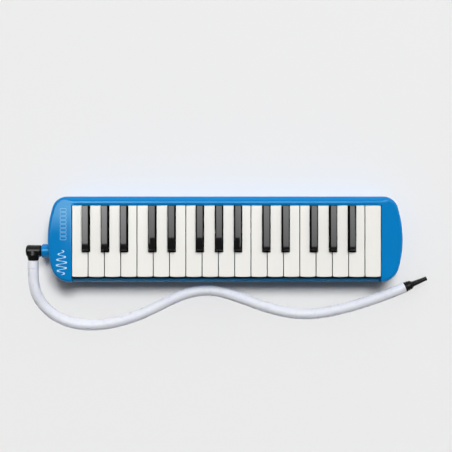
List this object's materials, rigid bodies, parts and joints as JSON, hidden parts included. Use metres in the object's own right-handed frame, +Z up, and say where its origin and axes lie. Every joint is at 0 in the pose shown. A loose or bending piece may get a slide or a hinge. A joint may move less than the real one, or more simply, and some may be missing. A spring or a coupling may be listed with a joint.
{
  "type": "melodica",
  "caption": "Melodica in a blue moulded case, with hinged white and black keys, a blow socket with an elbow, and a free-lying blowing hose with a mouthpiece.",
  "frame": {"origin": "on the supporting surface, under the middle of the case and blow socket, without the hose set", "axes": "+X along the keyboard towards the high notes, +Y from the player's edge to the rail behind the keys, +Z up"},
  "size_m": [0.4912, 0.1641, 0.0446],
  "materials": {
    "case_plastic": "satin blue moulded plastic",
    "white_key_plastic": "gloss ivory white",
    "black_key_plastic": "gloss black",
    "black_plastic": "satin black moulded plastic",
    "inner_plastic": "dark grey moulded plastic",
    "rubber_seal": "matt rubber",
    "reed_brass": "bright brass",
    "screw_steel": "zinc plated",
    "spring_steel": "bright spring steel",
    "felt": "dense dark felt",
    "strap_webbing": "woven webbing",
    "cuff_plastic": "soft white vinyl",
    "hose_plastic": "translucent white vinyl"
  },
  "bodies": {
    "casing": {"axle_brackets": "inner_plastic", "blow_socket": "case_plastic", "case_screws": "screw_steel", "chamber_gasket": "rubber_seal", "chamber_screws": "screw_steel", "drain_spring": "spring_steel", "hand_strap": "strap_webbing", "inlet_manifold": "inner_plastic", "key_axle": "spring_steel", "key_guide_comb": "inner_plastic", "key_springs": "spring_steel", "key_stop_felt": "felt", "lower_case": "case_plastic", "reed_block": "inner_plastic", "reed_plate_high": "reed_brass", "reed_plate_low": "reed_brass", "reed_plate_screws": "screw_steel", "reed_tongues": "reed_brass", "strap_anchors": "black_plastic", "strap_screws": "screw_steel", "upper_cover": "case_plastic", "wind_chamber": "inner_plastic"},
    "white_key_f_3": {"white_key_f_3": "white_key_plastic"},
    "black_key_f_sharp_3": {"black_key_f_sharp_3": "black_key_plastic"},
    "white_key_g_3": {"white_key_g_3": "white_key_plastic"},
    "black_key_g_sharp_3": {"black_key_g_sharp_3": "black_key_plastic"},
    "white_key_a_3": {"white_key_a_3": "white_key_plastic"},
    "black_key_a_sharp_3": {"black_key_a_sharp_3": "black_key_plastic"},
    "white_key_b_3": {"white_key_b_3": "white_key_plastic"},
    "white_key_c_4": {"white_key_c_4": "white_key_plastic"},
    "black_key_c_sharp_4": {"black_key_c_sharp_4": "black_key_plastic"},
    "white_key_d_4": {"white_key_d_4": "white_key_plastic"},
    "black_key_d_sharp_4": {"black_key_d_sharp_4": "black_key_plastic"},
    "white_key_e_4": {"white_key_e_4": "white_key_plastic"},
    "white_key_f_4": {"white_key_f_4": "white_key_plastic"},
    "black_key_f_sharp_4": {"black_key_f_sharp_4": "black_key_plastic"},
    "white_key_g_4": {"white_key_g_4": "white_key_plastic"},
    "black_key_g_sharp_4": {"black_key_g_sharp_4": "black_key_plastic"},
    "white_key_a_4": {"white_key_a_4": "white_key_plastic"},
    "black_key_a_sharp_4": {"black_key_a_sharp_4": "black_key_plastic"},
    "white_key_b_4": {"white_key_b_4": "white_key_plastic"},
    "white_key_c_5": {"white_key_c_5": "white_key_plastic"},
    "black_key_c_sharp_5": {"black_key_c_sharp_5": "black_key_plastic"},
    "white_key_d_5": {"white_key_d_5": "white_key_plastic"},
    "black_key_d_sharp_5": {"black_key_d_sharp_5": "black_key_plastic"},
    "white_key_e_5": {"white_key_e_5": "white_key_plastic"},
    "white_key_f_5": {"white_key_f_5": "white_key_plastic"},
    "black_key_f_sharp_5": {"black_key_f_sharp_5": "black_key_plastic"},
    "white_key_g_5": {"white_key_g_5": "white_key_plastic"},
    "black_key_g_sharp_5": {"black_key_g_sharp_5": "black_key_plastic"},
    "white_key_a_5": {"white_key_a_5": "white_key_plastic"},
    "black_key_a_sharp_5": {"black_key_a_sharp_5": "black_key_plastic"},
    "white_key_b_5": {"white_key_b_5": "white_key_plastic"},
    "white_key_c_6": {"white_key_c_6": "white_key_plastic"},
    "drain_valve": {"drain_button": "black_plastic", "drain_washer": "rubber_seal"},
    "hose_set": {"hose_elbow": "black_plastic", "hose_cuff": "cuff_plastic", "hose_tube": "hose_plastic", "mouthpiece": "black_plastic"}
  },
  "joints": [
    {"name": "white_f_3_press", "type": "hinge", "parent": "casing", "child": "white_key_f_3", "pos_m": [0.00475, 0.024, 0.024], "axis": [1, 0, 0], "range_deg": [0, 3.7], "stiffness_Nm_per_rad": 0.15, "springref_deg": -17.19, "deforming": ["key_springs"]},
    {"name": "black_f_sharp_3_press", "type": "hinge", "parent": "casing", "child": "black_key_f_sharp_3", "pos_m": [0.00475, 0.024, 0.024], "axis": [1, 0, 0], "range_deg": [0, 4.2], "stiffness_Nm_per_rad": 0.15, "springref_deg": -17.19, "deforming": ["key_springs"]},
    {"name": "white_g_3_press", "type": "hinge", "parent": "casing", "child": "white_key_g_3", "pos_m": [0.00475, 0.024, 0.024], "axis": [1, 0, 0], "range_deg": [0, 3.7], "stiffness_Nm_per_rad": 0.15, "springref_deg": -17.19, "deforming": ["key_springs"]},
    {"name": "black_g_sharp_3_press", "type": "hinge", "parent": "casing", "child": "black_key_g_sharp_3", "pos_m": [0.00475, 0.024, 0.024], "axis": [1, 0, 0], "range_deg": [0, 4.2], "stiffness_Nm_per_rad": 0.15, "springref_deg": -17.19, "deforming": ["key_springs"]},
    {"name": "white_a_3_press", "type": "hinge", "parent": "casing", "child": "white_key_a_3", "pos_m": [0.00475, 0.024, 0.024], "axis": [1, 0, 0], "range_deg": [0, 3.7], "stiffness_Nm_per_rad": 0.15, "springref_deg": -17.19, "deforming": ["key_springs"]},
    {"name": "black_a_sharp_3_press", "type": "hinge", "parent": "casing", "child": "black_key_a_sharp_3", "pos_m": [0.00475, 0.024, 0.024], "axis": [1, 0, 0], "range_deg": [0, 4.2], "stiffness_Nm_per_rad": 0.15, "springref_deg": -17.19, "deforming": ["key_springs"]},
    {"name": "white_b_3_press", "type": "hinge", "parent": "casing", "child": "white_key_b_3", "pos_m": [0.00475, 0.024, 0.024], "axis": [1, 0, 0], "range_deg": [0, 3.7], "stiffness_Nm_per_rad": 0.15, "springref_deg": -17.19, "deforming": ["key_springs"]},
    {"name": "white_c_4_press", "type": "hinge", "parent": "casing", "child": "white_key_c_4", "pos_m": [0.00475, 0.024, 0.024], "axis": [1, 0, 0], "range_deg": [0, 3.7], "stiffness_Nm_per_rad": 0.15, "springref_deg": -17.19, "deforming": ["key_springs"]},
    {"name": "black_c_sharp_4_press", "type": "hinge", "parent": "casing", "child": "black_key_c_sharp_4", "pos_m": [0.00475, 0.024, 0.024], "axis": [1, 0, 0], "range_deg": [0, 4.2], "stiffness_Nm_per_rad": 0.15, "springref_deg": -17.19, "deforming": ["key_springs"]},
    {"name": "white_d_4_press", "type": "hinge", "parent": "casing", "child": "white_key_d_4", "pos_m": [0.00475, 0.024, 0.024], "axis": [1, 0, 0], "range_deg": [0, 3.7], "stiffness_Nm_per_rad": 0.15, "springref_deg": -17.19, "deforming": ["key_springs"]},
    {"name": "black_d_sharp_4_press", "type": "hinge", "parent": "casing", "child": "black_key_d_sharp_4", "pos_m": [0.00475, 0.024, 0.024], "axis": [1, 0, 0], "range_deg": [0, 4.2], "stiffness_Nm_per_rad": 0.15, "springref_deg": -17.19, "deforming": ["key_springs"]},
    {"name": "white_e_4_press", "type": "hinge", "parent": "casing", "child": "white_key_e_4", "pos_m": [0.00475, 0.024, 0.024], "axis": [1, 0, 0], "range_deg": [0, 3.7], "stiffness_Nm_per_rad": 0.15, "springref_deg": -17.19, "deforming": ["key_springs"]},
    {"name": "white_f_4_press", "type": "hinge", "parent": "casing", "child": "white_key_f_4", "pos_m": [0.00475, 0.024, 0.024], "axis": [1, 0, 0], "range_deg": [0, 3.7], "stiffness_Nm_per_rad": 0.15, "springref_deg": -17.19, "deforming": ["key_springs"]},
    {"name": "black_f_sharp_4_press", "type": "hinge", "parent": "casing", "child": "black_key_f_sharp_4", "pos_m": [0.00475, 0.024, 0.024], "axis": [1, 0, 0], "range_deg": [0, 4.2], "stiffness_Nm_per_rad": 0.15, "springref_deg": -17.19, "deforming": ["key_springs"]},
    {"name": "white_g_4_press", "type": "hinge", "parent": "casing", "child": "white_key_g_4", "pos_m": [0.00475, 0.024, 0.024], "axis": [1, 0, 0], "range_deg": [0, 3.7], "stiffness_Nm_per_rad": 0.15, "springref_deg": -17.19, "deforming": ["key_springs"]},
    {"name": "black_g_sharp_4_press", "type": "hinge", "parent": "casing", "child": "black_key_g_sharp_4", "pos_m": [0.00475, 0.024, 0.024], "axis": [1, 0, 0], "range_deg": [0, 4.2], "stiffness_Nm_per_rad": 0.15, "springref_deg": -17.19, "deforming": ["key_springs"]},
    {"name": "white_a_4_press", "type": "hinge", "parent": "casing", "child": "white_key_a_4", "pos_m": [0.00475, 0.024, 0.024], "axis": [1, 0, 0], "range_deg": [0, 3.7], "stiffness_Nm_per_rad": 0.15, "springref_deg": -17.19, "deforming": ["key_springs"]},
    {"name": "black_a_sharp_4_press", "type": "hinge", "parent": "casing", "child": "black_key_a_sharp_4", "pos_m": [0.00475, 0.024, 0.024], "axis": [1, 0, 0], "range_deg": [0, 4.2], "stiffness_Nm_per_rad": 0.15, "springref_deg": -17.19, "deforming": ["key_springs"]},
    {"name": "white_b_4_press", "type": "hinge", "parent": "casing", "child": "white_key_b_4", "pos_m": [0.00475, 0.024, 0.024], "axis": [1, 0, 0], "range_deg": [0, 3.7], "stiffness_Nm_per_rad": 0.15, "springref_deg": -17.19, "deforming": ["key_springs"]},
    {"name": "white_c_5_press", "type": "hinge", "parent": "casing", "child": "white_key_c_5", "pos_m": [0.00475, 0.024, 0.024], "axis": [1, 0, 0], "range_deg": [0, 3.7], "stiffness_Nm_per_rad": 0.15, "springref_deg": -17.19, "deforming": ["key_springs"]},
    {"name": "black_c_sharp_5_press", "type": "hinge", "parent": "casing", "child": "black_key_c_sharp_5", "pos_m": [0.00475, 0.024, 0.024], "axis": [1, 0, 0], "range_deg": [0, 4.2], "stiffness_Nm_per_rad": 0.15, "springref_deg": -17.19, "deforming": ["key_springs"]},
    {"name": "white_d_5_press", "type": "hinge", "parent": "casing", "child": "white_key_d_5", "pos_m": [0.00475, 0.024, 0.024], "axis": [1, 0, 0], "range_deg": [0, 3.7], "stiffness_Nm_per_rad": 0.15, "springref_deg": -17.19, "deforming": ["key_springs"]},
    {"name": "black_d_sharp_5_press", "type": "hinge", "parent": "casing", "child": "black_key_d_sharp_5", "pos_m": [0.00475, 0.024, 0.024], "axis": [1, 0, 0], "range_deg": [0, 4.2], "stiffness_Nm_per_rad": 0.15, "springref_deg": -17.19, "deforming": ["key_springs"]},
    {"name": "white_e_5_press", "type": "hinge", "parent": "casing", "child": "white_key_e_5", "pos_m": [0.00475, 0.024, 0.024], "axis": [1, 0, 0], "range_deg": [0, 3.7], "stiffness_Nm_per_rad": 0.15, "springref_deg": -17.19, "deforming": ["key_springs"]},
    {"name": "white_f_5_press", "type": "hinge", "parent": "casing", "child": "white_key_f_5", "pos_m": [0.00475, 0.024, 0.024], "axis": [1, 0, 0], "range_deg": [0, 3.7], "stiffness_Nm_per_rad": 0.15, "springref_deg": -17.19, "deforming": ["key_springs"]},
    {"name": "black_f_sharp_5_press", "type": "hinge", "parent": "casing", "child": "black_key_f_sharp_5", "pos_m": [0.00475, 0.024, 0.024], "axis": [1, 0, 0], "range_deg": [0, 4.2], "stiffness_Nm_per_rad": 0.15, "springref_deg": -17.19, "deforming": ["key_springs"]},
    {"name": "white_g_5_press", "type": "hinge", "parent": "casing", "child": "white_key_g_5", "pos_m": [0.00475, 0.024, 0.024], "axis": [1, 0, 0], "range_deg": [0, 3.7], "stiffness_Nm_per_rad": 0.15, "springref_deg": -17.19, "deforming": ["key_springs"]},
    {"name": "black_g_sharp_5_press", "type": "hinge", "parent": "casing", "child": "black_key_g_sharp_5", "pos_m": [0.00475, 0.024, 0.024], "axis": [1, 0, 0], "range_deg": [0, 4.2], "stiffness_Nm_per_rad": 0.15, "springref_deg": -17.19, "deforming": ["key_springs"]},
    {"name": "white_a_5_press", "type": "hinge", "parent": "casing", "child": "white_key_a_5", "pos_m": [0.00475, 0.024, 0.024], "axis": [1, 0, 0], "range_deg": [0, 3.7], "stiffness_Nm_per_rad": 0.15, "springref_deg": -17.19, "deforming": ["key_springs"]},
    {"name": "black_a_sharp_5_press", "type": "hinge", "parent": "casing", "child": "black_key_a_sharp_5", "pos_m": [0.00475, 0.024, 0.024], "axis": [1, 0, 0], "range_deg": [0, 4.2], "stiffness_Nm_per_rad": 0.15, "springref_deg": -17.19, "deforming": ["key_springs"]},
    {"name": "white_b_5_press", "type": "hinge", "parent": "casing", "child": "white_key_b_5", "pos_m": [0.00475, 0.024, 0.024], "axis": [1, 0, 0], "range_deg": [0, 3.7], "stiffness_Nm_per_rad": 0.15, "springref_deg": -17.19, "deforming": ["key_springs"]},
    {"name": "white_c_6_press", "type": "hinge", "parent": "casing", "child": "white_key_c_6", "pos_m": [0.00475, 0.024, 0.024], "axis": [1, 0, 0], "range_deg": [0, 3.7], "stiffness_Nm_per_rad": 0.15, "springref_deg": -17.19, "deforming": ["key_springs"]},
    {"name": "drain_press", "type": "slide", "parent": "casing", "child": "drain_valve", "axis": [0, 0, 1], "range_m": [0, 0.0016], "stiffness_N_per_m": 400, "springref_m": -0.002, "deforming": ["drain_spring"]},
    {"name": "elbow_swivel", "type": "hinge", "parent": "casing", "child": "hose_set", "pos_m": [-0.21855, -0.0142, 0.016], "axis": [-1, 0, 0], "range_deg": [0, 90]}
  ]
}
